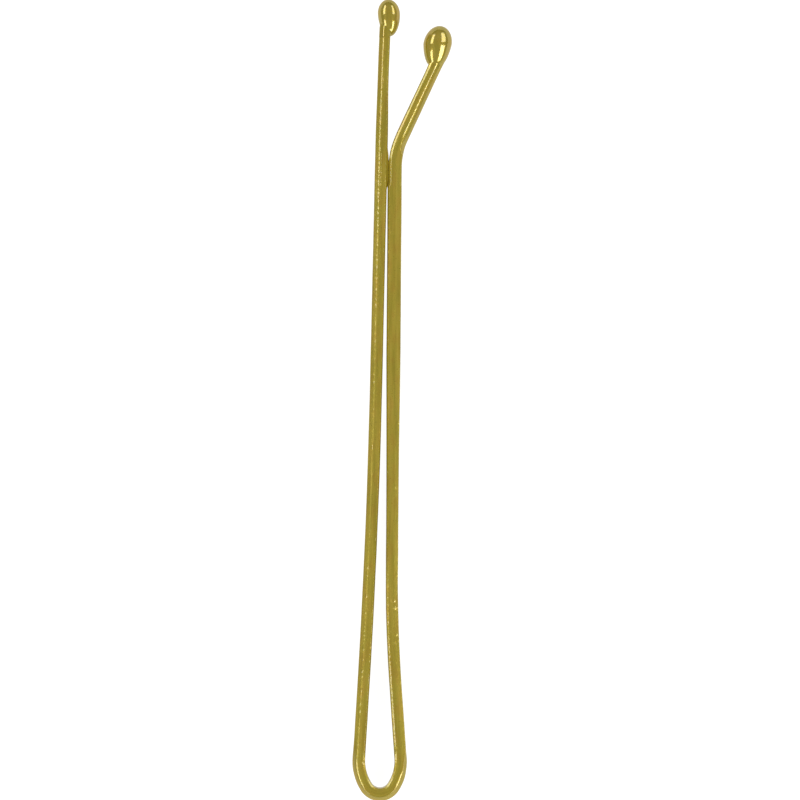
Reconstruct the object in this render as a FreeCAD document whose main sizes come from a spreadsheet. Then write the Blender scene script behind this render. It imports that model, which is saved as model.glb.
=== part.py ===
import FreeCAD, Part
import math
import os

import Sketcher
from FreeCAD import Placement, Rotation, Vector

# A plain bobby pin lying flat. One flattened spring wire is bent into a bow and two legs: the straight
# leg, and the bent leg that closes on it and then kicks outwards. Each wire end has a dipped lacquer drop.
# The wire flexes most just above the bow, so it is parted there: each leg has a round foot, the knuckle,
# that turns in a hollow seat on the bow.
# +Y runs along the pin to its tips, +X is the kicked side and +Z is up. Millimetres and degrees.

SIZES = {
    # the flattened wire, its thickness lying in the plane of the pin
    "wire_thickness": 1.0,
    "wire_width": 1.3,
    "wire_edge_radius": 0.4,
    # the bow's inside: its widest place, and the depth from there to the crown
    "bow_inner_width": 2.37,
    "bow_depth": 2.2,
    "crown_inner_radius": 0.775,
    # the hinges: height above the inside of the crown, and distance from the bow's middle line
    "hinge_height": 8.78,
    "straight_hinge_offset": 1.3,
    "bent_hinge_offset": 1.25,
    "knuckle_margin": 0.12,
    "knuckle_clearance": 0.03,
    # the straight leg: a faint outward bend, a straight run and a fainter inward bend to the end of the wire
    "straight_bend_radius": 668.0,
    "straight_bend_turn_deg": 2.1,
    "straight_run": 22.02,
    "end_bend_radius": 260.0,
    "end_bend_turn_deg": 1.6,
    # the bent leg: a faint outward bend, a long run, the kick and a short run to the end of the wire
    "bent_bend_radius": 118.0,
    "bent_bend_turn_deg": 4.26,
    "bent_run": 32.87,
    "kick_radius": 5.5,
    "kick_turn_deg": 24.6,
    "kick_run": 7.83,
    "closing_gap": 0.12,
    # the drop on the straight leg: how far it covers the wire, and reaches past its own widest place
    "straight_tip_outer_cover": 0.14,
    "straight_tip_inner_cover": 0.666,
    "straight_tip_depth_cover": 0.255,
    "straight_tip_rise": 0.3,
    "straight_tip_crown": 1.18,
    "straight_tip_tail": 1.78,
    # the drop on the bent leg
    "bent_tip_outer_cover": 0.29,
    "bent_tip_inner_cover": 1.05,
    "bent_tip_depth_cover": 0.52,
    "bent_tip_rise": 0.75,
    "bent_tip_crown": 1.31,
    "bent_tip_tail": 1.95,
    "tip_clearance": 0.01,
}

LEFT, RIGHT = -1, 1
STRAIGHT_SHANK_MOVES = (
    ("arc", "straight_bend_radius", "straight_bend_turn_deg", LEFT),
    ("run", "straight_run"),
)
STRAIGHT_END_MOVES = (
    ("arc", "end_bend_radius", "end_bend_turn_deg", RIGHT),
)
BENT_SHANK_MOVES = (
    ("arc", "bent_bend_radius", "bent_bend_turn_deg", RIGHT),
    ("run", "bent_run"),
)
KICK_MOVES = (
    ("arc", "kick_radius", "kick_turn_deg", RIGHT),
    ("run", "kick_run"),
)
STRAIGHT_LEG_MOVES = STRAIGHT_SHANK_MOVES + STRAIGHT_END_MOVES
BENT_LEG_MOVES = BENT_SHANK_MOVES + KICK_MOVES

# formulas that several features share
KNUCKLE_RADIUS = "sizes.wire_thickness / 2 + sizes.knuckle_margin"
CROWN_RADIUS = "(sizes.crown_inner_radius + sizes.wire_thickness / 2)"
HALF_WIDTH = "((sizes.bow_inner_width + sizes.wire_thickness) / 2)"
CROWN_DROP = "(sizes.bow_depth - sizes.crown_inner_radius)"
SHOULDER_RADIUS = "({half}^2 + {drop}^2 - {crown}^2) / (2 * ({half} - {crown}))".format(
    half=HALF_WIDTH, drop=CROWN_DROP, crown=CROWN_RADIUS)
SHOULDER_HEIGHT = "sizes.bow_depth + sizes.wire_thickness / 2"
HINGE_HEIGHT = "sizes.hinge_height + sizes.wire_thickness / 2"
TIP_HALF_BREADTH = "(sizes.wire_thickness + sizes.{0}inner_cover + sizes.{0}outer_cover) / 2"
TIP_HALF_DEPTH = "sizes.wire_width / 2 + sizes.{0}depth_cover"
TIP_OFFSET = "(sizes.{0}inner_cover - sizes.{0}outer_cover) / 2"
HINGE_OFFSET = {LEFT: "sizes.straight_hinge_offset", RIGHT: "sizes.bent_hinge_offset"}


def make_sheet(doc):
    """The spreadsheet of driving dimensions, one aliased cell each."""
    sheet = doc.addObject("Spreadsheet::Sheet", "sizes")
    for row, (alias, value) in enumerate(SIZES.items(), start=1):
        sheet.set("A%d" % row, alias)
        sheet.set("B%d" % row, str(value))
        sheet.setAlias("B%d" % row, alias)
    doc.recompute()
    return sheet


# Where the wire runs. A heading is an angle in radians from +Y towards +X.

def forward(point, heading, length):
    """The point reached by a straight run."""
    return point + Vector(math.sin(heading), math.cos(heading), 0) * length


def sideways(point, heading, length):
    """The point reached by a step to the right of the heading, or to the left if the length is negative."""
    return point + Vector(math.cos(heading), -math.sin(heading), 0) * length


def after_arc(point, heading, radius, turn, side):
    """The centre of an arc that turns to one side, with the point and heading at its end."""
    centre = sideways(point, heading, side * radius)
    heading += side * turn
    return centre, sideways(centre, heading, -side * radius), heading


def follow(sheet, moves, point=Vector(), heading=0.0):
    """The point and heading at the end of a leg's moves."""
    for kind, size, *bend in moves:
        if kind == "run":
            point = forward(point, heading, getattr(sheet, size))
        else:
            turn, side = math.radians(getattr(sheet, bend[0])), bend[1]
            _, point, heading = after_arc(point, heading, getattr(sheet, size), turn, side)
    return point, heading


def bow_lines(sheet):
    """The centre lines of the bow: crown and shoulder radius, half width and shoulder height."""
    half_wire = sheet.wire_thickness / 2
    half_width = sheet.bow_inner_width / 2 + half_wire
    crown = sheet.crown_inner_radius + half_wire
    drop = sheet.bow_depth - sheet.crown_inner_radius
    shoulder = (half_width ** 2 + drop ** 2 - crown ** 2) / (2 * (half_width - crown))
    return crown, shoulder, half_width, sheet.bow_depth + half_wire


def hinge_point(sheet, side):
    """The place of a hinge, from the middle of the crown's wire."""
    offset = sheet.straight_hinge_offset if side == LEFT else sheet.bent_hinge_offset
    return Vector(side * offset, sheet.hinge_height + sheet.wire_thickness / 2, 0)


def stub_lean(sheet, side):
    """The inward lean of the bow's stub, which leaves its shoulder's arc straight to the hinge."""
    _, shoulder, half_width, shoulder_height = bow_lines(sheet)
    hinge = hinge_point(sheet, side)
    across = abs(hinge.x) - half_width + shoulder
    above = hinge.y - shoulder_height
    return math.atan2(above, across) - math.acos(shoulder / math.hypot(across, above))


def straight_leg_pose(sheet):
    """The hinge and heading of the straight leg, which carries on from its stub."""
    return hinge_point(sheet, LEFT), stub_lean(sheet, LEFT)


def bent_leg_pose(sheet):
    """The hinge and heading of the bent leg, swung in until its kick is a closing gap from the other leg."""
    hinge = hinge_point(sheet, RIGHT)
    before_kick, heading = follow(sheet, BENT_SHANK_MOVES)
    kick_centre = sideways(before_kick, heading, sheet.kick_radius)
    run_end, line = follow(sheet, STRAIGHT_SHANK_MOVES, *straight_leg_pose(sheet))
    to_hinge = hinge - run_end
    hinge_distance = to_hinge.x * math.cos(line) - to_hinge.y * math.sin(line)
    wanted = sheet.kick_radius + sheet.wire_thickness + sheet.closing_gap
    swing = math.asin((wanted - hinge_distance) / kick_centre.Length)
    return hinge, line + swing - math.atan2(kick_centre.x, kick_centre.y)


def placed(point, heading):
    """A placement that puts a leg's own origin at a point and its own +Y on a heading."""
    return Placement(point, Rotation(Vector(0, 0, 1), -math.degrees(heading)))


# Sketches

def new_sketch(body, name, plane_role):
    """An empty sketch on one of the body's own planes."""
    sketch = body.newObject("Sketcher::SketchObject", name)
    plane = next(item for item in body.Origin.OriginFeatures if item.Role == plane_role)
    sketch.AttachmentSupport = (plane, [""])
    sketch.MapMode = "FlatFace"
    return sketch


def bind(sketch, formula, kind, *where):
    """A constraint whose size follows a formula of the sheet's cells."""
    index = sketch.addConstraint(Sketcher.Constraint(kind, *where))
    sketch.setExpression("Constraints[%d]" % index, formula)


def fix(sketch, kind, *where):
    """A constraint with no size of its own."""
    sketch.addConstraint(Sketcher.Constraint(kind, *where))


def add_line(sketch, start, end):
    return sketch.addGeometry(Part.LineSegment(start, end))


def add_arc(sketch, centre, start, end):
    """An arc drawn counterclockwise from start to end."""
    circle = Part.Circle(centre, Vector(0, 0, 1), (start - centre).Length)
    first = math.atan2(start.y - centre.y, start.x - centre.x)
    last = math.atan2(end.y - centre.y, end.x - centre.x)
    if last < first:
        last += 2 * math.pi
    return sketch.addGeometry(Part.ArcOfCircle(circle, first, last))


def add_turn(sketch, point, heading, radius, turn, side):
    """An arc along the wire: its index, its first and last point's numbers, and where it ends."""
    centre, end, new_heading = after_arc(point, heading, radius, turn, side)
    if side == LEFT:
        return add_arc(sketch, centre, point, end), 1, 2, end, new_heading
    return add_arc(sketch, centre, end, point), 2, 1, end, new_heading


def draw_wire_section(sketch, sheet, clearance=None):
    """The wire's section, a rectangle with rounded corners, or that section grown by a clearance."""
    grown = getattr(sheet, clearance) if clearance else 0.0
    growth = " + sizes.%s" % clearance if clearance else ""
    half_x = sheet.wire_thickness / 2 + grown
    half_y = sheet.wire_width / 2 + grown
    radius = sheet.wire_edge_radius + grown
    inner_x, inner_y = half_x - radius, half_y - radius
    corners = ((inner_x, -inner_y), (inner_x, inner_y), (-inner_x, inner_y), (-inner_x, -inner_y))
    lines, arcs = [], []
    for quarter, (x, y) in enumerate(corners):
        centre = Vector(x, y, 0)
        out_of_line = Rotation(Vector(0, 0, 1), 90 * quarter).multVec(Vector(0, -radius, 0))
        into_line = Rotation(Vector(0, 0, 1), 90 * quarter).multVec(Vector(radius, 0, 0))
        before = Vector(*corners[quarter - 1], 0) + out_of_line
        lines.append(add_line(sketch, before, centre + out_of_line))
        arcs.append(add_arc(sketch, centre, centre + out_of_line, centre + into_line))
    for quarter in range(4):
        fix(sketch, "Tangent", lines[quarter], 2, arcs[quarter], 1)
        fix(sketch, "Tangent", arcs[quarter - 1], 2, lines[quarter], 1)
        fix(sketch, "Vertical" if quarter % 2 else "Horizontal", lines[quarter])
    for arc in arcs[1:]:
        fix(sketch, "Equal", arcs[0], arc)
    fix(sketch, "Symmetric", arcs[0], 3, arcs[2], 3, -1, 1)
    bind(sketch, "sizes.wire_edge_radius" + growth, "Radius", arcs[0], radius)
    bind(sketch, "sizes.wire_thickness" + growth * 2, "DistanceX", lines[3], 1, lines[1], 1, 2 * half_x)
    bind(sketch, "sizes.wire_width" + growth * 2, "DistanceY", lines[0], 1, lines[2], 1, 2 * half_y)


def draw_bow_path(sketch, sheet, side):
    """Half of the bow's centre line: from the crown round one shoulder and straight to the hinge."""
    crown, shoulder, half_width, shoulder_height = bow_lines(sheet)
    inward = -side
    shoulder_turn = math.acos((shoulder - half_width) / (shoulder - crown))
    hinge, lean = hinge_point(sheet, side), stub_lean(sheet, side)
    first, begin, end, point, heading = add_turn(
        sketch, Vector(), side * math.pi / 2, crown, math.pi / 2 - shoulder_turn, inward)
    second, begin_2, end_2, point, heading = add_turn(
        sketch, point, heading, shoulder, shoulder_turn + lean, inward)
    stub = add_line(sketch, point, hinge)
    fix(sketch, "Coincident", first, begin, -1, 1)
    fix(sketch, "PointOnObject", first, 3, -2)
    bind(sketch, CROWN_RADIUS, "Radius", first, crown)
    fix(sketch, "Tangent", first, end, second, begin_2)
    bind(sketch, SHOULDER_RADIUS, "Radius", second, shoulder)
    bind(sketch, SHOULDER_HEIGHT, "DistanceY", -1, 1, second, 3, shoulder_height)
    fix(sketch, "Tangent", second, end_2, stub, 1)
    place_from_origin(sketch, stub, 2, side, hinge)


def place_from_origin(sketch, geometry, number, side, hinge):
    """Ties a point of the sketch to the hinge on one side of the bow."""
    across = (geometry, number, -1, 1) if side == LEFT else (-1, 1, geometry, number)
    bind(sketch, HINGE_OFFSET[side], "DistanceX", *across, abs(hinge.x))
    bind(sketch, HINGE_HEIGHT, "DistanceY", -1, 1, geometry, number, hinge.y)


def draw_leg_path(sketch, sheet, moves):
    """A leg's centre line, from its hinge at the origin up along +Y."""
    point, heading = Vector(), 0.0
    last = None
    for kind, size, *bend in moves:
        length = getattr(sheet, size)
        if kind == "run":
            end_point = forward(point, heading, length)
            index, begin, end = add_line(sketch, point, end_point), 1, 2
            point = end_point
            bind(sketch, "sizes." + size, "Distance", index, length)
        else:
            turn, side = math.radians(getattr(sheet, bend[0])), bend[1]
            index, begin, end, point, heading = add_turn(sketch, point, heading, length, turn, side)
            bind(sketch, "sizes." + size, "Radius", index, length)
            bind(sketch, "sizes.%s * 1 deg" % bend[0], "Angle", index, turn)
        if last is None:
            fix(sketch, "Coincident", index, begin, -1, 1)
            fix(sketch, "PointOnObject", index, 3, -1)
        else:
            fix(sketch, "Tangent", *last, index, begin)
        last = (index, end)


def draw_foot_waste(sketch, sheet):
    """What is cut from a leg's square foot to leave a half round about the hinge."""
    radius = sheet.wire_thickness / 2 + sheet.knuckle_margin
    left_top, right_top = Vector(-radius, 0, 0), Vector(radius, 0, 0)
    left_low, right_low = Vector(-radius, -2 * radius, 0), Vector(radius, -2 * radius, 0)
    arc = add_arc(sketch, Vector(), left_top, right_top)
    right = add_line(sketch, right_top, right_low)
    low = add_line(sketch, right_low, left_low)
    left = add_line(sketch, left_low, left_top)
    fix(sketch, "Coincident", arc, 3, -1, 1)
    fix(sketch, "PointOnObject", arc, 1, -1)
    fix(sketch, "PointOnObject", arc, 2, -1)
    for first, second in ((right, low), (low, left)):
        fix(sketch, "Coincident", first, 2, second, 1)
    fix(sketch, "Coincident", arc, 2, right, 1)
    fix(sketch, "Coincident", left, 2, arc, 1)
    fix(sketch, "Vertical", right)
    fix(sketch, "Vertical", left)
    fix(sketch, "Horizontal", low)
    bind(sketch, KNUCKLE_RADIUS, "Radius", arc, radius)
    bind(sketch, "2 * (%s)" % KNUCKLE_RADIUS, "Distance", right, 2 * radius)


# Sub-parts

def sweep(body, name, section, path):
    """The section carried along a path."""
    pipe = body.newObject("PartDesign::AdditivePipe", name)
    pipe.Profile = section
    pipe.Spine = (path, [""])
    return pipe


def cut_through(doc, body, name, sketch):
    """A cut right through the wire, checked to have taken something away."""
    doc.recompute()
    before = body.Shape.Volume
    pocket = body.newObject("PartDesign::Pocket", name)
    pocket.Profile = sketch
    pocket.SideType = "Symmetric"
    pocket.Type = "ThroughAll"
    doc.recompute()
    if not body.Shape.Volume < before:
        raise RuntimeError(name + " cut nothing")


def make_bow(doc, sheet):
    """The bow: crown, two shoulders and two stubs, each stub ending in a hollow seat for a knuckle."""
    body = doc.addObject("PartDesign::Body", "bow")
    section = new_sketch(body, "bow_section", "YZ_Plane")
    draw_wire_section(section, sheet)
    for side, name in ((LEFT, "straight_side"), (RIGHT, "bent_side")):
        path = new_sketch(body, name + "_path", "XY_Plane")
        draw_bow_path(path, sheet, side)
        sweep(body, name, section, path)
    seats = new_sketch(body, "knuckle_seat_circles", "XY_Plane")
    radius = sheet.wire_thickness / 2 + sheet.knuckle_margin + sheet.knuckle_clearance
    for side in (LEFT, RIGHT):
        hinge = hinge_point(sheet, side)
        circle = seats.addGeometry(Part.Circle(hinge, Vector(0, 0, 1), radius))
        bind(seats, KNUCKLE_RADIUS + " + sizes.knuckle_clearance", "Radius", circle, radius)
        place_from_origin(seats, circle, 3, side, hinge)
    cut_through(doc, body, "knuckle_seats", seats)
    return body


def make_leg(doc, sheet, name, moves):
    """A leg: the wire from its round foot at the hinge, its own origin, to the end that the drop covers."""
    body = doc.addObject("PartDesign::Body", name)
    section = new_sketch(body, name + "_section", "XZ_Plane")
    draw_wire_section(section, sheet)
    path = new_sketch(body, name + "_path", "XY_Plane")
    draw_leg_path(path, sheet, moves)
    sweep(body, name + "_wire", section, path)
    foot = body.newObject("PartDesign::Pad", name + "_foot")
    foot.Profile = section
    foot.setExpression("Length", KNUCKLE_RADIUS)
    waste = new_sketch(body, name + "_foot_waste", "XY_Plane")
    draw_foot_waste(waste, sheet)
    cut_through(doc, body, name + "_knuckle", waste)
    return body


def make_tip(doc, sheet, leg, heading, inward):
    """A drop of lacquer dipped on a wire end at the origin: an egg shape with a socket that fits the wire."""
    prefix = leg.replace("leg", "tip") + "_"
    domes = []
    for reach, low, high in (("crown", 0, 90), ("tail", -90, 0)):
        dome = doc.addObject("Part::Ellipsoid", prefix + reach)
        dome.Angle1 = low
        dome.Angle2 = high
        dome.setExpression("Radius1", "sizes." + prefix + reach)
        dome.setExpression("Radius2", TIP_HALF_BREADTH.format(prefix))
        dome.setExpression("Radius3", TIP_HALF_DEPTH.format(prefix))
        dome.Placement = Placement(Vector(), Rotation(Vector(1, 0, 0), -90))
        dome.setExpression("Placement.Base.x", "%d * %s" % (inward, TIP_OFFSET.format(prefix)))
        dome.setExpression("Placement.Base.y", "sizes.%srise" % prefix)
        domes.append(dome)
    drop = doc.addObject("Part::Fuse", prefix + "drop")
    drop.Base, drop.Tool = domes
    core = doc.addObject("PartDesign::Body", prefix + "core")
    section = new_sketch(core, prefix + "core_section", "XZ_Plane")
    draw_wire_section(section, sheet, "tip_clearance")
    pad = core.newObject("PartDesign::Pad", prefix + "core_pad")
    pad.Profile = section
    pad.setExpression("Length", "sizes.{0}crown + sizes.{0}tail".format(prefix))
    core.Placement = placed(forward(Vector(), heading, sheet.tip_clearance), heading)
    tip = doc.addObject("Part::Cut", leg + "_tip")
    tip.Base = drop
    tip.Tool = core
    doc.recompute()
    if not tip.Shape.Volume < drop.Shape.Volume:
        raise RuntimeError(tip.Label + " has no socket")
    return tip


# The whole pin

def set_down(doc, nodes):
    """Moves the pin so that the origin is under the middle of its box, on the surface it lies on."""
    box = FreeCAD.BoundBox()
    for node in nodes:
        box.add(node.Shape.optimalBoundingBox(False, False))
    shift = Placement(Vector(-box.Center.x, -box.Center.y, -box.ZMin), Rotation())
    for node in nodes:
        node.Placement = shift.multiply(node.Placement)
    doc.recompute()
    print("overall size %.3f %.3f %.3f" % (box.XLength, box.YLength, box.ZLength))
    return shift.Base


def check(doc, nodes):
    """Refuses a failed feature, or a node that is not one sound solid."""
    for item in doc.Objects:
        if "Invalid" in item.State or "Error" in item.State:
            raise RuntimeError(item.Name + " failed")
    for node in nodes:
        if node.Shape.isNull() or not node.Shape.isValid() or len(node.Shape.Solids) != 1:
            raise RuntimeError(node.Label + " is not one sound solid")


def print_places(sheet, shift, straight_leg, bent_leg):
    """Prints the places that the joints and mounts use."""
    for side, label in ((LEFT, "straight"), (RIGHT, "bent")):
        place = hinge_point(sheet, side) + shift
        lean = math.degrees(stub_lean(sheet, side))
        print(label, "hinge %.4f %.4f %.4f, stub lean %.3f" % (*place, lean))
    crown, shoulder, _, _ = bow_lines(sheet)
    crown_centre = Vector(0, crown, 0) + shift
    print("crown centre %.4f %.4f %.4f, shoulder radius %.3f" % (*crown_centre, shoulder))
    for label, moves, pose in (("straight", STRAIGHT_LEG_MOVES, straight_leg_pose(sheet)),
                               ("bent", BENT_LEG_MOVES, bent_leg_pose(sheet))):
        wire_end, heading = follow(sheet, moves, *pose)
        print(label, "leg starts on heading %.4f" % math.degrees(pose[1]))
        print(label, "wire end %.4f %.4f %.4f" % tuple(wire_end + shift))
        print(label, "leg ends on heading %.4f" % math.degrees(heading))
    print("gap between the legs %.4f" % straight_leg.Shape.distToShape(bent_leg.Shape)[0])


def main():
    doc = FreeCAD.newDocument("bobby_pin")
    sheet = make_sheet(doc)
    nodes = [make_bow(doc, sheet)]
    legs = []
    for name, moves, pose, inward in (
        ("straight_leg", STRAIGHT_LEG_MOVES, straight_leg_pose(sheet), RIGHT),
        ("bent_leg", BENT_LEG_MOVES, bent_leg_pose(sheet), LEFT),
    ):
        wire_end, heading = follow(sheet, moves, *pose)
        leg = make_leg(doc, sheet, name, moves)
        leg.Placement = placed(*pose)
        tip = make_tip(doc, sheet, name, heading, inward)
        tip.Placement = Placement(wire_end, Rotation())
        legs.append(leg)
        nodes += [leg, tip]
    doc.recompute()
    shift = set_down(doc, nodes)
    check(doc, nodes)
    print_places(sheet, shift, *legs)
    os.makedirs("parts", exist_ok=True)
    for node in nodes:
        print(node.Label, "%.3f mm3" % node.Shape.Volume)
        node.Shape.exportStep("parts/%s.step" % node.Label)


main()
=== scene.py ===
import math

import bpy
import numpy as np
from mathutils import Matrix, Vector, noise


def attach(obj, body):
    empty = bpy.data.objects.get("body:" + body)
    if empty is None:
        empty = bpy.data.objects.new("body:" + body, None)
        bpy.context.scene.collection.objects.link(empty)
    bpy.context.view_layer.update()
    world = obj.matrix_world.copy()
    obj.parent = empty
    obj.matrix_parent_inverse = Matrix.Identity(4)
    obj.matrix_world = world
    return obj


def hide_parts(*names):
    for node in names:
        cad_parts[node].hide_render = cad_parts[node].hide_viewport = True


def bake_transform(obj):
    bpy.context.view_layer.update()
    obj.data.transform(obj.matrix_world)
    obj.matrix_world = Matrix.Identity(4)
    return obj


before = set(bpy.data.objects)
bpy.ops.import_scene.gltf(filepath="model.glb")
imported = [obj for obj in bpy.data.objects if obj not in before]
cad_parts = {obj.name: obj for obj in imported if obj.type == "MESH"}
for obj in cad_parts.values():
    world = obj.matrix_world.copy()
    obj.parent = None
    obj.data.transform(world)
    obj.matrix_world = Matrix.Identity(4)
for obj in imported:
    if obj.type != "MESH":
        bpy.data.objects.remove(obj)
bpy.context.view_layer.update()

# A bobby pin lying flat, seen from straight above. Lengths are in millimetres and angles in degrees, unless
# a comment says otherwise. A heading is measured from +Y towards +X, and a turn to the right is positive.
MM = 0.001

# The wire's middle line, from the middle of the crown to each end
PLANE_HEIGHT = 1.17
CROWN_MIDDLE = (-1.8261, -31.9955)
CROWN_RADIUS = 1.275
CROWN_TURN = 57.9
SHOULDER_RADIUS = 3.95637
SHOULDER_TURN = 32.1
STRAIGHT_LEAN = 3.4095
STRAIGHT_STUB = 6.356
STRAIGHT_BEND_RADIUS = 668.0
STRAIGHT_BEND_TURN = 2.1
STRAIGHT_RUN = 22.02
END_BEND_RADIUS = 260.0
END_BEND_TURN = 1.6
BENT_LEAN = 3.8506
BENT_STUB = 6.328
BENT_BEND_RADIUS = 118.0
BENT_BEND_TURN = 4.26
BENT_RUN = 32.87
KICK_RADIUS = 5.5
KICK_TURN = 24.6
KICK_RUN = 7.83

# Rings along the wire are at most this far apart, in length and in turn
RING_STEP = 0.06
RING_TURN = 2.5

# Points round each corner of the section, and along each edge from the upper left flank round to the left
# side. The rounding of a corner takes at most this share of an edge.
CORNER_POINTS = 6
EDGE_POINTS = (3, 6, 6, 3, 2, 2, 2, 2, 2, 2)
CORNER_SHARE = 0.49

# The corners that can be rolled edges. A corner is a full edge from this turn on, in radians. Going round the
# section, a turn to the right is negative.
ROLLED_CORNERS = (0, 1, 1, 1, 0, 0, 1, 1, 1, 0)
ROLLED_TURN = math.radians(-20)


def mirrored(section):
    """A section turned over from left to right."""
    return tuple((-across, height, radius) for across, height, radius in reversed(section))


# The wire's rolled section, as the five corners of its upper side from left to right, each a distance
# across, a height and the radius that rounds it. The lower side is the same.
CROWN_LEFT = ((-0.55, 0.22, 0.2), (-0.2, 0.635, 0.08), (0.2, 0.645, 1.0),
              (0.34, 0.62, 0.06), (0.5, 0.54, 0.06))
BOW_LEFT = ((-0.55, 0.22, 0.2), (-0.2, 0.635, 0.5), (0.2, 0.645, 1.0),
            (0.34, 0.62, 0.06), (0.5, 0.54, 0.06))
CROWN_RIGHT, BOW_RIGHT = mirrored(CROWN_LEFT), mirrored(BOW_LEFT)
LEFT_LEG = ((-0.5, 0.38, 0.2), (-0.1, 0.64, 0.5), (0.15, 0.645, 2.0),
            (0.4, 0.635, 0.05), (0.5, 0.48, 0.08))
LEFT_WEB = ((-0.5, 0.38, 0.2), (-0.1, 0.64, 0.5), (0.15, 0.645, 2.0),
            (0.4, 0.61, 0.08), (0.595, 0.4, 0.05))
LEFT_NECK = ((-0.45, 0.36, 0.2), (-0.08, 0.64, 0.5), (0.12, 0.645, 2.0),
             (0.36, 0.635, 0.08), (0.45, 0.48, 0.08))
SHOULDER = ((-0.5, 0.52, 0.08), (-0.32, 0.61, 0.06), (0.0, 0.645, 0.6),
            (0.26, 0.62, 0.06), (0.52, 0.28, 0.15))
RIGHT_LOW = ((-0.5, 0.48, 0.15), (-0.29, 0.6, 0.06), (0.15, 0.64, 0.3),
             (0.47, 0.56, 0.04), (0.5, 0.35, 0.1))
RIGHT_MID = ((-0.5, 0.42, 0.08), (-0.4, 0.61, 0.1), (0.2, 0.64, 0.3),
             (0.47, 0.57, 0.04), (0.5, 0.35, 0.1))
RIGHT_HIGH = ((-0.575, 0.42, 0.1), (-0.45, 0.62, 0.06), (0.08, 0.645, 0.3),
              (0.545, 0.565, 0.03), (0.575, 0.35, 0.1))
FOOT = ((-0.575, 0.35, 0.05), (-0.32, 0.61, 0.3), (0.08, 0.645, 0.32),
        (0.53, 0.55, 0.05), (0.57, 0.35, 0.1))
ANKLE = ((-0.5, 0.49, 0.15), (-0.29, 0.6, 0.08), (0.08, 0.645, 0.32),
         (0.53, 0.55, 0.05), (0.57, 0.35, 0.1))
BEND = ((-0.5, 0.49, 0.15), (-0.29, 0.6, 0.08), (-0.05, 0.645, 1.0),
        (0.22, 0.61, 0.4), (0.545, 0.1, 0.2))
KICK = ((-0.525, 0.49, 0.15), (-0.31, 0.61, 0.1), (0.04, 0.64, 0.5),
        (0.34, 0.37, 0.15), (0.545, 0.08, 0.2))

# The section changes along the wire: distance from the middle of the crown, and section. The lacquer has run
# into a web on the straight leg where the legs meet.
STRAIGHT_SECTIONS = ((0, CROWN_LEFT), (1.2, CROWN_LEFT), (1.8, BOW_LEFT), (3, BOW_LEFT), (6, LEFT_LEG),
                     (49.9, LEFT_LEG), (50.4, LEFT_WEB), (52.5, LEFT_WEB), (53.4, LEFT_LEG), (54, LEFT_LEG),
                     (59, LEFT_NECK))
BENT_SECTIONS = ((0, CROWN_RIGHT), (1.2, CROWN_RIGHT), (1.8, BOW_RIGHT), (2.2, BOW_RIGHT), (2.9, SHOULDER),
                 (4.8, RIGHT_LOW), (17.5, RIGHT_LOW), (24, RIGHT_MID), (38, RIGHT_HIGH), (50, RIGHT_HIGH),
                 (50.5, FOOT), (51.6, FOOT), (52.6, ANKLE), (53.7, BEND), (54.7, KICK))

# Uneven lacquer: depth and rate of the slow waves, the fine orange peel and the beads along a rolled edge
WAVE_DEPTH, WAVE_RATE = 0.010, 0.35
PEEL_DEPTH, PEEL_RATE = 0.003, 2.2
BEAD_DEPTH, BEAD_RATE = 0.011, 4.2

# The beads grow between the first two distances along the wire and fade between the last two
BEADED_STRAIGHT, BEADED_BENT = (5, 9, 60, 62), (7, 10, 46, 50)

# Dust nibs caught in the lacquer: distance along the wire, distance across it and height
NIB_RADIUS = 0.1
STRAIGHT_NIBS = ((16.97, -0.07, 0.03), (12.81, 0.39, 0.05), (10.94, -0.03, 0.02), (29.03, -0.18, 0.02),
                 (44.97, 0.31, 0.03), (50.57, 0.31, 0.03), (3.42, 0.28, 0.05))
BENT_NIBS = ((15.96, 0.2, 0.05), (16.52, -0.02, 0.045), (16.52, 0.14, 0.035), (18.71, 0.4, 0.035),
             (14.01, -0.05, 0.035), (13.77, 0.28, 0.03), (13.13, 0.1, 0.035), (4.61, -0.18, 0.045),
             (4.37, -0.23, 0.045), (50.4, -0.32, 0.07), (46.42, -0.19, 0.05), (32.51, -0.23, 0.04),
             (30.99, 0.44, 0.05), (25.71, 0.16, 0.03))

# The drops dipped on the wire's ends, from the end of the wire: egg shapes that are widest at a rise, with a
# crown above and a tail below, set to one side, leaning, and blunt where they hang over the wire. The bent
# leg's drop has a flat of a small depth on its upper right side.
STRAIGHT_DROP = {
    "rise": 0.311, "crown": 1.19, "tail": 1.81, "breadth": 0.905, "depth": 0.905, "offset": 0.26,
    "lean": -0.04, "tail_round": 1.8, "tail_blunt": 0.5, "flat": 0.0,
}
BENT_DROP = {
    "rise": 0.588, "crown": 1.469, "tail": 1.827, "breadth": 1.161, "depth": 1.17, "offset": -0.355,
    "lean": 0.11, "tail_round": 1.3, "tail_blunt": 0.33, "flat": 0.014,
}

# The flat's tilt from overhead in radians, the least that a ray is taken to face it, and its rounding
FLAT_TILT = math.radians(22)
FLAT_LEAST_FACING = 0.01
FLAT_SOFTNESS = 0.012

# Rings of a drop above and below its widest place, the angle from its axis at which the top ring lies, the
# least size of a ring, points round a ring, and points along each step of the wire's outline under the drop
CROWN_RINGS, TAIL_RINGS = 30, 80
TOP_RING_ANGLE = 3
LEAST_SIZE = 1e-4
DROP_POINTS = 120
OUTLINE_STEPS = 20

# Heights from the wire's end: where a ring's middle starts to leave the wire's middle, and over which the
# wire and the meniscus round it fade out inside the drop
MIDDLE_LEAVES_WIRE = -0.2
WIRE_FADE = (-0.8, 0.0)
MENISCUS_FADE = (-0.3, 0.3)

# The film that the drop thins to on the wire, which ends sunk into it, and the meniscus above the film
FILM_LENGTH, FILM_DEPTH, FILM_SINK = 0.4, 0.008, 0.03
MENISCUS, MENISCUS_RISE = 0.05, 0.6

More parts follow.
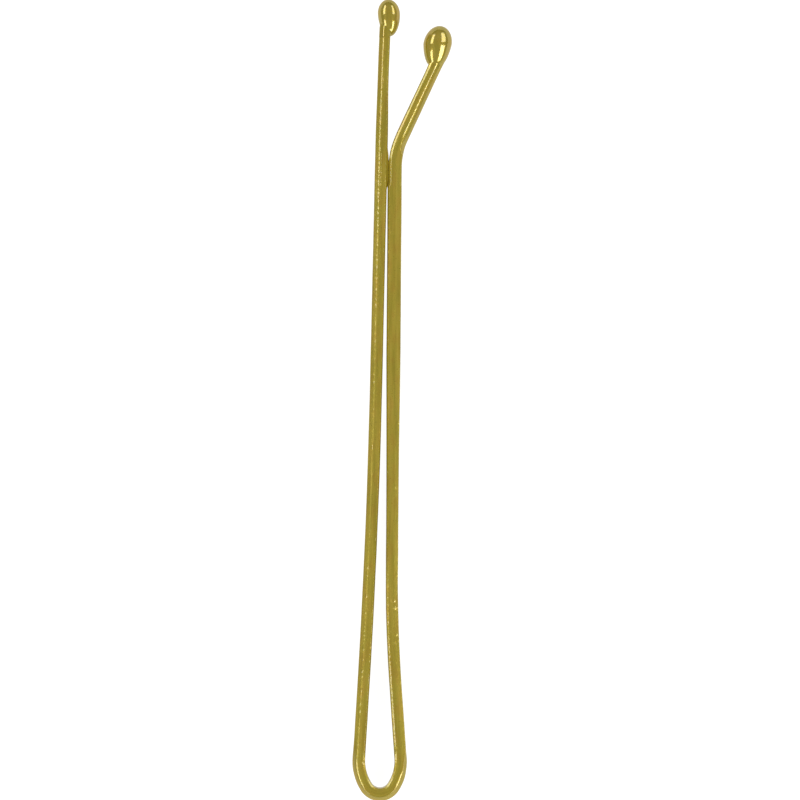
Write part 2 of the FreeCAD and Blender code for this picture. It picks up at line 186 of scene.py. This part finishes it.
# The lacquer's colours over the noise value, with the hue multiplied in
GOLD_STOPS = ((0.3, (0.255, 0.197, 0.015)), (0.5, (0.308, 0.235, 0.021)), (0.72, (0.365, 0.274, 0.031)))
HUE_STOPS = ((0.36, (0.96, 1.0, 0.97)), (0.5, (1.0, 1.0, 1.0)), (0.66, (1.0, 0.92, 0.93)))

# Noise on the lacquer: scale along and round the wire, and detail. The speckle has one scale, per metre.
STREAKS = ((0.22, 2.6, 2.6), 3.0)
PATCHES = ((0.7, 1.1, 1.1), 2.0)
RIPPLES = ((4.5, 1.2, 1.2), 1.0)
NOISE_ROUGHNESS = 0.55
SPECKLE_SCALE, SPECKLE_DETAIL = 7000.0, 2.0

# The bumps' depths in metres, and the share by which the speckle varies the roughness
RIPPLE_DEPTH, GRAIN_DEPTH = 0.00004, 0.00002
ROUGHNESS_SPREAD = 0.25
METALLIC = 0.4
SPECULAR_LEVEL = 0.2
SPECULAR_TINT = (0.8, 0.68, 0.3, 1.0)
COAT_IOR = 2.5

# The floor: half its side in metres, its grey, and its glow to the eye and in reflections
FLOOR_HALF = 0.6
FLOOR_GREY = (0.2, 0.2, 0.2, 1.0)
FLOOR_GLOW = 0.95

# The sky's grey from the horizon, 0, to overhead, 1
SKY_STOPS = ((0.0, (0.28,) * 3), (0.8, (0.5,) * 3), (1.0, (0.3,) * 3))

# The lamps' sizes and distance in metres. Each lamp has a name, a tilt from overhead towards +X, a place
# along Y in metres and a power in watts.
LAMP_WIDTH, LAMP_LENGTH, LAMP_DISTANCE = 0.11, 0.37, 0.3
LAMPS = (
    ("upper_left_lamp", -50, 0.22, 0.68),
    ("lower_left_lamp", -50, -0.235, 0.78),
    ("upper_right_lamp", 50, 0.235, 0.6),
    ("lower_right_lamp", 50, -0.235, 1.15),
)

# The camera: the width that it sees in the wire's plane, its place over the plane, its lens and sensor, and
# the nearest that it sees, in metres
VIEW_WIDTH = 64.944
CAMERA_X, CAMERA_Y = -0.1864, -0.0093
LENS, SENSOR = 180.0, 36.0
CLIP_START = 0.01


def trace(heading, moves):
    """The wire's middle line from the middle of the crown, as rows of distance, x, y and heading."""
    distance, (x, y), heading = 0.0, CROWN_MIDDLE, math.radians(heading)
    rows = [(distance, x, y, heading)]
    for length, turn in moves:
        steps = math.ceil(max(length / RING_STEP, abs(turn) / RING_TURN))
        half_turn = math.radians(turn) / steps / 2
        step = length / steps
        chord = step * np.sinc(half_turn / math.pi)
        for _ in range(steps):
            heading += half_turn
            x += chord * math.sin(heading)
            y += chord * math.cos(heading)
            heading += half_turn
            distance += step
            rows.append((distance, x, y, heading))
    return np.array(rows)


def arc(radius, turn):
    """A bend, as its length and turn."""
    return radius * math.radians(abs(turn)), turn


def smooth(low, high, value):
    """Rises smoothly from 0 at low to 1 at high."""
    t = np.clip((value - low) / (high - low), 0.0, 1.0)
    return t * t * (3 - 2 * t)


def section_at(distance, sections):
    """The wire's upper corners at a distance, between the sections on either side of it."""
    for (low, before), (high, after) in zip(sections, sections[1:]):
        if distance <= high:
            share = smooth(low, high, distance)
            return np.array(before) * (1 - share) + np.array(after) * share
    return np.array(sections[-1][1])


def corner_arc(corner, before, after, radius):
    """The rounding of a corner: its centre, its points from the centre, its radius and its sweep."""
    back, ahead = before - corner, after - corner
    room = CORNER_SHARE * min(np.linalg.norm(back), np.linalg.norm(ahead))
    back /= np.linalg.norm(back)
    ahead /= np.linalg.norm(ahead)
    half_inside = math.acos(np.clip(back @ ahead, -1, 1)) / 2
    reach = min(radius / math.tan(half_inside), room)
    radius = reach * math.tan(half_inside)
    inward = (back + ahead) / np.linalg.norm(back + ahead)
    centre = corner + inward * radius / math.sin(half_inside)
    first = corner + back * reach - centre
    last = corner + ahead * reach - centre
    sweep = math.atan2(first[0] * last[1] - first[1] * last[0], first @ last)
    points = []
    for share in np.linspace(0, 1, CORNER_POINTS):
        cos, sin = math.cos(sweep * share), math.sin(sweep * share)
        points.append((first[0] * cos - first[1] * sin, first[0] * sin + first[1] * cos))
    return centre, np.array(points), radius, sweep


def outline(upper):
    """Points round the wire's section, with the outward direction at each and whether it is a rolled edge."""
    lower = upper[::-1] * (1, -1, 1)
    corners = np.concatenate([upper, lower])
    arcs = []
    for index, (across, height, radius) in enumerate(corners):
        before, after = corners[index - 1][:2], corners[(index + 1) % len(corners)][:2]
        arcs.append(corner_arc(np.array((across, height)), before, after, radius))
    places, outwards, edges = [], [], []
    for index, (centre, points, radius, sweep) in enumerate(arcs):
        next_centre, next_points, next_radius, _ = arcs[(index + 1) % len(arcs)]
        edge = ROLLED_CORNERS[index] * min(sweep / ROLLED_TURN, 1.0)
        for point in points:
            places.append(centre + point)
            outwards.append(point / radius)
            edges.append(edge)
        start, end = centre + points[-1], next_centre + next_points[0]
        for share in np.linspace(0, 1, EDGE_POINTS[index] + 2)[1:-1]:
            places.append(start * (1 - share) + end * share)
            facing = (points[-1] / radius) * (1 - share) + (next_points[0] / next_radius) * share
            outwards.append(facing / np.linalg.norm(facing))
            edges.append(0)
    return np.array(places), np.array(outwards), np.array(edges, float)


def unevenness(place, edge):
    """How far the lacquer stands proud at a place."""
    spot = Vector(place)
    wave = WAVE_DEPTH * noise.noise(spot * WAVE_RATE)
    peel = PEEL_DEPTH * noise.noise(spot * PEEL_RATE)
    bead = BEAD_DEPTH * noise.noise(spot * BEAD_RATE) * edge
    return wave + peel + bead


def mesh_object(name, rings, marks):
    """A closed tube of rings of points, with flat ends, each point carrying its place on the wire."""
    count, round_count = len(rings), len(rings[0])
    points = np.concatenate(rings) * MM
    first_end = range(round_count)
    last_end = range((count - 1) * round_count, count * round_count)
    faces = []
    for ring in range(count - 1):
        for index in range(round_count):
            following = (index + 1) % round_count
            here, there = ring * round_count, (ring + 1) * round_count
            faces.append((here + index, here + following, there + following, there + index))
    faces.append(tuple(reversed(first_end)))
    faces.append(tuple(last_end))
    mesh = bpy.data.meshes.new(name)
    mesh.from_pydata(points.tolist(), [], faces)
    mesh.polygons.foreach_set("use_smooth", [True] * (len(faces) - 2) + [False] * 2)
    ends = set(first_end) | set(last_end)
    sharp_edges = [edge.vertices[0] in ends and edge.vertices[1] in ends for edge in mesh.edges]
    sharp = mesh.attributes.new("sharp_edge", "BOOLEAN", "EDGE")
    sharp.data.foreach_set("value", sharp_edges)
    place = mesh.attributes.new("wire_place", "FLOAT_VECTOR", "POINT")
    place.data.foreach_set("vector", np.concatenate(marks).astype(np.float32).ravel())
    mesh.validate()
    piece = bpy.data.objects.new(name, mesh)
    bpy.context.scene.collection.objects.link(piece)
    return piece


def rightward(heading):
    """The direction to the right of a heading."""
    return np.array((math.cos(heading), -math.sin(heading), 0))


def make_wire(name, line, side, sections, beaded, nibs):
    """Half of the wire, from the middle of the crown to one end. The lacquer's pattern runs on through the
    crown, because one half has side 1 and the other -1."""
    up = np.array((0, 0, 1.0))
    rings, outward_rings, marks = [], [], []
    for distance, x, y, heading in line:
        places, outwards, edges = outline(section_at(distance, sections))
        edges = edges * smooth(beaded[0], beaded[1], distance) * (1 - smooth(beaded[2], beaded[3], distance))
        right = rightward(heading)
        middle = np.array((x, y, PLANE_HEIGHT))
        ring = middle + places[:, :1] * right + places[:, 1:] * up
        facing = outwards[:, :1] * right + outwards[:, 1:] * up
        proud = np.array([unevenness(place, edge) for place, edge in zip(ring, edges)])
        rings.append(ring + facing * proud[:, None])
        outward_rings.append(facing)
        angle = np.arctan2(places[:, 1], places[:, 0])
        along = np.full(len(ring), side * distance)
        marks.append(np.stack([along, side * np.cos(angle), np.sin(angle)], axis=1))
    rings, outward_rings = np.array(rings), np.array(outward_rings)
    for distance, across, height in nibs:
        nearest = int(np.argmin(abs(line[:, 0] - distance)))
        _, x, y, heading = line[nearest]
        ring = rings[nearest]
        offset = (ring - (x, y, PLANE_HEIGHT)) @ rightward(heading)
        upper = ring[:, 2] > PLANE_HEIGHT
        nib = ring[int(np.argmin(np.where(upper, abs(offset - across), np.inf)))]
        apart = np.linalg.norm(rings - nib, axis=2)
        rings = rings + outward_rings * (height * np.exp(-(apart / NIB_RADIUS) ** 2))[..., None]
    return mesh_object(name, list(rings), marks)


def ellipse_reach(middle, centre, half_breadth, half_depth, across, up):
    """How far rays from a point on an ellipse's breadth go until they leave it, and 0 where they miss it."""
    a = (across / half_breadth) ** 2 + (up / half_depth) ** 2
    b = (middle - centre) * across / half_breadth ** 2
    c = ((middle - centre) / half_breadth) ** 2 - 1
    inside = b * b - a * c
    return np.maximum(np.where(inside > 0, (np.sqrt(np.maximum(inside, 0)) - b) / a, 0.0), 0.0)


def flattened(reach, distance, across, up):
    """Rays stopped short at a flat on the drop's upper right side, at a distance from their start."""
    facing = across * math.sin(FLAT_TILT) + up * math.cos(FLAT_TILT)
    flat = distance / np.maximum(facing, FLAT_LEAST_FACING)
    return (reach + flat - np.sqrt((reach - flat) ** 2 + FLAT_SOFTNESS ** 2)) / 2


def egg_size(height, egg):
    """The egg's size at a height, as a share of its widest."""
    if height > egg["rise"]:
        size = math.sqrt(1 - ((height - egg["rise"]) / egg["crown"]) ** 2)
    else:
        share = min((egg["rise"] - height) / egg["tail"], 1.0)
        size = (1 - share ** egg["tail_round"]) ** egg["tail_blunt"]
    return max(size, LEAST_SIZE)


def egg_reach(middle, egg_x, size, egg, across, up):
    """How far rays from a ring's middle go until they leave the egg."""
    reach = ellipse_reach(middle, egg_x, egg["breadth"] * size, egg["depth"] * size, across, up)
    if egg["flat"]:
        extent = math.hypot(egg["breadth"] * math.sin(FLAT_TILT), egg["depth"] * math.cos(FLAT_TILT))
        distance = (extent - egg["flat"]) * size + (egg_x - middle) * math.sin(FLAT_TILT)
        if distance > 0:
            reach = flattened(reach, distance, across, up)
    return reach


def drop_heights(egg, bottom):
    """Heights of a drop's rings, from its top down, closer together near the top."""
    angles = np.linspace(TOP_RING_ANGLE, 90, CROWN_RINGS)
    heights = [egg["rise"] + egg["crown"] * math.cos(math.radians(angle)) for angle in angles]
    return heights + list(np.linspace(egg["rise"], bottom, TAIL_RINGS)[1:])


def section_reach(section, stretch, angles):
    """How far rays from the wire's middle go until they leave its section, which is stretched across."""
    corners, _, _ = outline(np.array(section))
    corners = corners * (stretch, 1.0)
    following = np.roll(corners, -1, axis=0)
    shares = np.linspace(0, 1, OUTLINE_STEPS, endpoint=False)[:, None]
    points = (corners[:, None] * (1 - shares) + following[:, None] * shares).reshape(-1, 2)
    turns = np.arctan2(points[:, 1], points[:, 0])
    order = np.argsort(turns)
    reach = np.linalg.norm(points, axis=1)
    return np.interp(angles, turns[order], reach[order], period=2 * math.pi)


def make_drop(name, line, section, egg):
    """A drop of lacquer on a wire end: an egg that sags to one side and thins to a film on the wire."""
    _, end_x, end_y, heading = line[-1]
    top, bottom = egg["rise"] + egg["crown"], egg["rise"] - egg["tail"] - FILM_LENGTH
    angles = np.linspace(0, 2 * math.pi, DROP_POINTS, endpoint=False)
    across, up = np.cos(angles), np.sin(angles)
    wire_reach = section_reach(section, 1 / math.cos(heading), angles)
    rings, marks = [], []
    for height in drop_heights(egg, bottom):
        egg_x = egg["offset"] + egg["lean"] * (height - egg["rise"])
        wire_x = min(height, 0.0) * math.tan(heading)
        middle = wire_x + (egg_x - wire_x) * smooth(MIDDLE_LEAVES_WIRE, top, height)
        bulge = egg_reach(middle, egg_x, egg_size(height, egg), egg, across, up)
        sunk = 1 - smooth(bottom, bottom + FILM_LENGTH, height)
        film = FILM_DEPTH - (FILM_DEPTH + FILM_SINK) * sunk
        wire = (wire_reach + film) * (1 - smooth(*WIRE_FADE, height))
        meniscus = MENISCUS * (1 - smooth(*MENISCUS_FADE, height))
        meniscus *= smooth(bottom, bottom + MENISCUS_RISE, height)
        radius = (bulge + wire + np.sqrt((bulge - wire) ** 2 + meniscus ** 2)) / 2
        x, y = end_x + middle + radius * across, np.full(len(angles), end_y + height)
        rings.append(np.stack([x, y, PLANE_HEIGHT + radius * up], axis=1))
        marks.append(np.stack([np.full(len(angles), height), across, up], axis=1))
    return mesh_object(name, rings, marks)


def node(tree, kind, **settings):
    """A shader node with some of its inputs or settings given."""
    made = tree.nodes.new(kind)
    for key, value in settings.items():
        if key in made.inputs:
            made.inputs[key].default_value = value
        else:
            setattr(made, key, value)
    return made


def place_noise(tree, scale, detail):
    """Noise that follows the wire: its scale is along the wire and round it."""
    place = node(tree, "ShaderNodeAttribute", attribute_name="wire_place")
    mapping = node(tree, "ShaderNodeMapping", Scale=scale)
    pattern = node(tree, "ShaderNodeTexNoise", Scale=1.0, Detail=detail, Roughness=NOISE_ROUGHNESS)
    tree.links.new(place.outputs["Vector"], mapping.inputs["Vector"])
    tree.links.new(mapping.outputs["Vector"], pattern.inputs["Vector"])
    return pattern.outputs["Fac"]


def ramp(tree, source, stops):
    """A ramp of colours over a value."""
    made = tree.nodes.new("ShaderNodeValToRGB")
    elements = made.color_ramp.elements
    while len(elements) < len(stops):
        elements.new(0.5)
    for element, (position, colour) in zip(elements, stops):
        element.position = position
        element.color = (*colour, 1.0)
    tree.links.new(source, made.inputs["Fac"])
    return made.outputs["Color"]


def make_lacquer(name, roughness, coat, coat_roughness, ripple, grain):
    """Olive-gold lacquer with streaks along the wire, brown and green patches, ripples and a fine grain."""
    material = bpy.data.materials.new(name)
    material.use_nodes = True
    tree = material.node_tree
    shader = tree.nodes["Principled BSDF"]
    gold = ramp(tree, place_noise(tree, *STREAKS), GOLD_STOPS)
    hue = ramp(tree, place_noise(tree, *PATCHES), HUE_STOPS)
    tint = node(tree, "ShaderNodeMix", data_type="RGBA", blend_type="MULTIPLY", Factor=1.0)
    tree.links.new(gold, tint.inputs["A"])
    tree.links.new(hue, tint.inputs["B"])
    tree.links.new(tint.outputs["Result"], shader.inputs["Base Color"])
    place = node(tree, "ShaderNodeTexCoord")
    speckle = node(tree, "ShaderNodeTexNoise", Scale=SPECKLE_SCALE, Detail=SPECKLE_DETAIL)
    tree.links.new(place.outputs["Object"], speckle.inputs["Vector"])
    satin = node(tree, "ShaderNodeMapRange")
    satin.inputs["To Min"].default_value = roughness * (1 - ROUGHNESS_SPREAD)
    satin.inputs["To Max"].default_value = roughness * (1 + ROUGHNESS_SPREAD)
    tree.links.new(speckle.outputs["Fac"], satin.inputs["Value"])
    tree.links.new(satin.outputs["Result"], shader.inputs["Roughness"])
    ripples = node(tree, "ShaderNodeBump", Strength=ripple, Distance=RIPPLE_DEPTH)
    tree.links.new(place_noise(tree, *RIPPLES), ripples.inputs["Height"])
    bump = node(tree, "ShaderNodeBump", Strength=grain, Distance=GRAIN_DEPTH)
    tree.links.new(speckle.outputs["Fac"], bump.inputs["Height"])
    tree.links.new(ripples.outputs["Normal"], bump.inputs["Normal"])
    tree.links.new(bump.outputs["Normal"], shader.inputs["Normal"])
    tree.links.new(ripples.outputs["Normal"], shader.inputs["Coat Normal"])
    shader.inputs["Metallic"].default_value = METALLIC
    shader.inputs["Specular IOR Level"].default_value = SPECULAR_LEVEL
    shader.inputs["Specular Tint"].default_value = SPECULAR_TINT
    shader.inputs["Coat Weight"].default_value = coat
    shader.inputs["Coat IOR"].default_value = COAT_IOR
    shader.inputs["Coat Roughness"].default_value = coat_roughness
    return material


def make_floor():
    """A white surface that keeps the pin's shadow."""
    low, high = -FLOOR_HALF, FLOOR_HALF
    corners = [(low, low, 0), (high, low, 0), (high, high, 0), (low, high, 0)]
    mesh = bpy.data.meshes.new("floor")
    mesh.from_pydata(corners, [], [(0, 1, 2, 3)])
    floor = bpy.data.objects.new("floor", mesh)
    bpy.context.scene.collection.objects.link(floor)
    material = bpy.data.materials.new("white_floor")
    material.use_nodes = True
    tree = material.node_tree
    tree.nodes.remove(tree.nodes["Principled BSDF"])
    diffuse = node(tree, "ShaderNodeBsdfDiffuse", Color=FLOOR_GREY)
    glow = node(tree, "ShaderNodeEmission")
    light_path = tree.nodes.new("ShaderNodeLightPath")
    seen = node(tree, "ShaderNodeMath", operation="ADD")
    either = node(tree, "ShaderNodeMath", operation="ADD")
    strength = node(tree, "ShaderNodeMath", operation="MULTIPLY")
    strength.inputs[1].default_value = FLOOR_GLOW
    tree.links.new(light_path.outputs["Is Camera Ray"], seen.inputs[0])
    tree.links.new(light_path.outputs["Is Glossy Ray"], seen.inputs[1])
    tree.links.new(seen.outputs[0], either.inputs[0])
    tree.links.new(light_path.outputs["Is Transmission Ray"], either.inputs[1])
    tree.links.new(either.outputs[0], strength.inputs[0])
    tree.links.new(strength.outputs[0], glow.inputs["Strength"])
    both = tree.nodes.new("ShaderNodeAddShader")
    tree.links.new(diffuse.outputs[0], both.inputs[0])
    tree.links.new(glow.outputs[0], both.inputs[1])
    tree.links.new(both.outputs[0], tree.nodes["Material Output"].inputs["Surface"])
    mesh.materials.append(material)


def make_world():
    """A plain grey studio, a little darker overhead and at the horizon."""
    world = bpy.data.worlds.new("studio")
    world.use_nodes = True
    tree = world.node_tree
    place = tree.nodes.new("ShaderNodeTexCoord")
    split = tree.nodes.new("ShaderNodeSeparateXYZ")
    tree.links.new(place.outputs["Generated"], split.inputs["Vector"])
    sky = ramp(tree, split.outputs["Z"], SKY_STOPS)
    tree.links.new(sky, tree.nodes["Background"].inputs["Color"])
    bpy.context.scene.world = world


def add_lamp(name, tilt, along, energy):
    """A long soft lamp beside the pin, tilted from overhead towards +X."""
    lamp = bpy.data.lights.new(name, "AREA")
    lamp.shape = "RECTANGLE"
    lamp.size = LAMP_WIDTH
    lamp.size_y = LAMP_LENGTH
    lamp.energy = energy
    holder = bpy.data.objects.new(name, lamp)
    angle = math.radians(tilt)
    holder.location = (LAMP_DISTANCE * math.sin(angle), along, LAMP_DISTANCE * math.cos(angle))
    holder.rotation_euler = (0, angle, 0)
    bpy.context.scene.collection.objects.link(holder)


def add_camera():
    """A long lens straight above the pin, framed as in the photograph."""
    camera = bpy.data.cameras.new("camera")
    camera.lens = LENS
    camera.sensor_width = SENSOR
    camera.clip_start = CLIP_START
    holder = bpy.data.objects.new("camera", camera)
    height = PLANE_HEIGHT * MM + VIEW_WIDTH * MM * LENS / SENSOR
    holder.location = (CAMERA_X * MM, CAMERA_Y * MM, height)
    bpy.context.scene.collection.objects.link(holder)
    bpy.context.scene.camera = holder


straight_line = trace(-90.0, (
    arc(CROWN_RADIUS, CROWN_TURN),
    arc(SHOULDER_RADIUS, SHOULDER_TURN + STRAIGHT_LEAN),
    (STRAIGHT_STUB, 0.0),
    arc(STRAIGHT_BEND_RADIUS, -STRAIGHT_BEND_TURN),
    (STRAIGHT_RUN, 0.0),
    arc(END_BEND_RADIUS, END_BEND_TURN),
))
bent_line = trace(90.0, (
    arc(CROWN_RADIUS, -CROWN_TURN),
    arc(SHOULDER_RADIUS, -SHOULDER_TURN - BENT_LEAN),
    (BENT_STUB, 0.0),
    arc(BENT_BEND_RADIUS, BENT_BEND_TURN),
    (BENT_RUN, 0.0),
    arc(KICK_RADIUS, KICK_TURN),
    (KICK_RUN, 0.0),
))

wire_lacquer = make_lacquer(
    "satin_gold_lacquer", roughness=0.3, coat=0.21, coat_roughness=0.12, ripple=0.2, grain=0.35)
drop_lacquer = make_lacquer(
    "glossy_gold_lacquer", roughness=0.15, coat=0.22, coat_roughness=0.03, ripple=0.05, grain=0.1)

straight_wire = make_wire(
    "straight_side_wire", straight_line, 1, STRAIGHT_SECTIONS, BEADED_STRAIGHT, STRAIGHT_NIBS)
bent_wire = make_wire("bent_side_wire", bent_line, -1, BENT_SECTIONS, BEADED_BENT, BENT_NIBS)
for wire, leg in ((straight_wire, "straight_leg"), (bent_wire, "bent_leg")):
    wire.data.materials.append(wire_lacquer)
    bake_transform(wire)
    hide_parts("bow", leg)

straight_drop = make_drop("straight_leg_drop", straight_line, LEFT_NECK, STRAIGHT_DROP)
bent_drop = make_drop("bent_leg_drop", bent_line, KICK, BENT_DROP)
for drop, leg in ((straight_drop, "straight_leg"), (bent_drop, "bent_leg")):
    drop.data.materials.append(drop_lacquer)
    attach(drop, leg)
    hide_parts(leg + "_tip")

make_floor()
make_world()
for name, tilt, along, energy in LAMPS:
    add_lamp(name, tilt, along, energy)
add_camera()
bpy.context.scene.view_settings.view_transform = "Standard"
